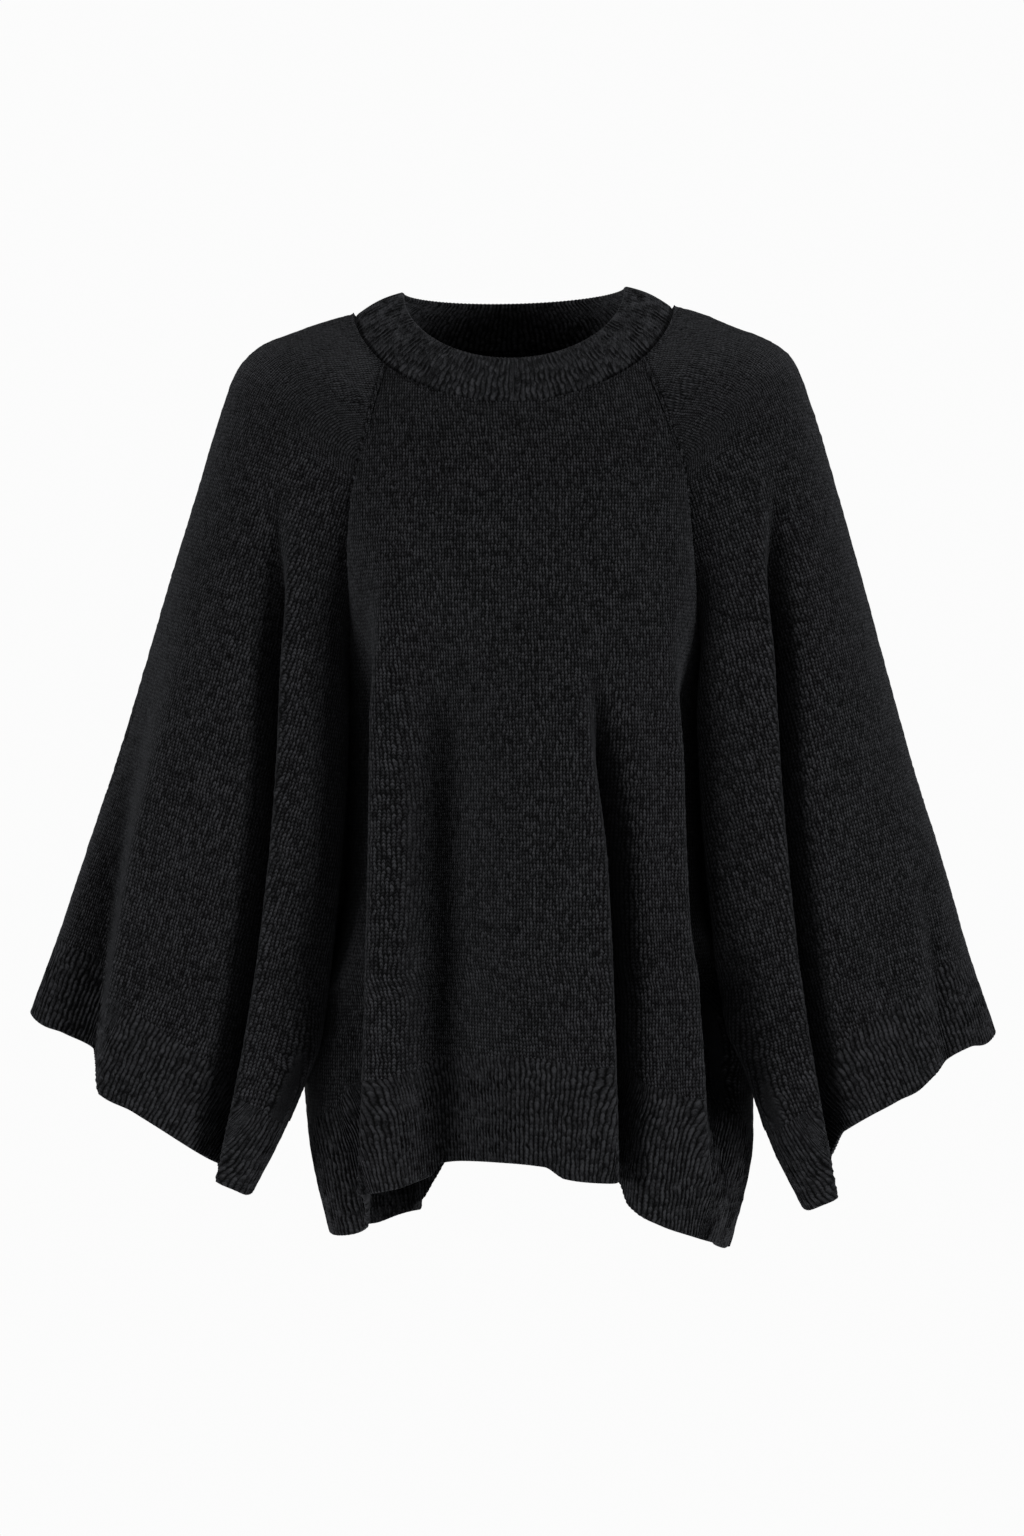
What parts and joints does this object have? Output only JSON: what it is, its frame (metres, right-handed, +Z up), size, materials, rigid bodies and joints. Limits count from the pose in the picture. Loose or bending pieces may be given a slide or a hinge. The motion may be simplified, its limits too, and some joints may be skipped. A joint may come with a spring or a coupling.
{
  "type": "pullover sweater",
  "caption": "Wide raglan pullover in felted knit, hollow and posed as worn, with long full sleeves, a leaning round neckband, and ribbed cuffs and hem.",
  "frame": {"origin": "middle of the neck, level with the tops of the shoulder seams, where a wearer holds it", "axes": "+Z up, the front faces -Y, the wearer's left is at +X"},
  "size_m": [0.7291, 0.2782, 0.7311],
  "materials": {
    "knit": "matt black felted wool, fine plain knit",
    "rib_knit": "matt black wool, fine rib"
  },
  "bodies": {
    "root": {"front_panel": "knit", "back_panel": "knit", "sleeve_right": "knit", "sleeve_left": "knit", "cuff_right": "rib_knit", "cuff_left": "rib_knit", "hem_rib_front": "rib_knit", "hem_rib_back": "rib_knit", "neckband": "rib_knit"}
  },
  "joints": []
}
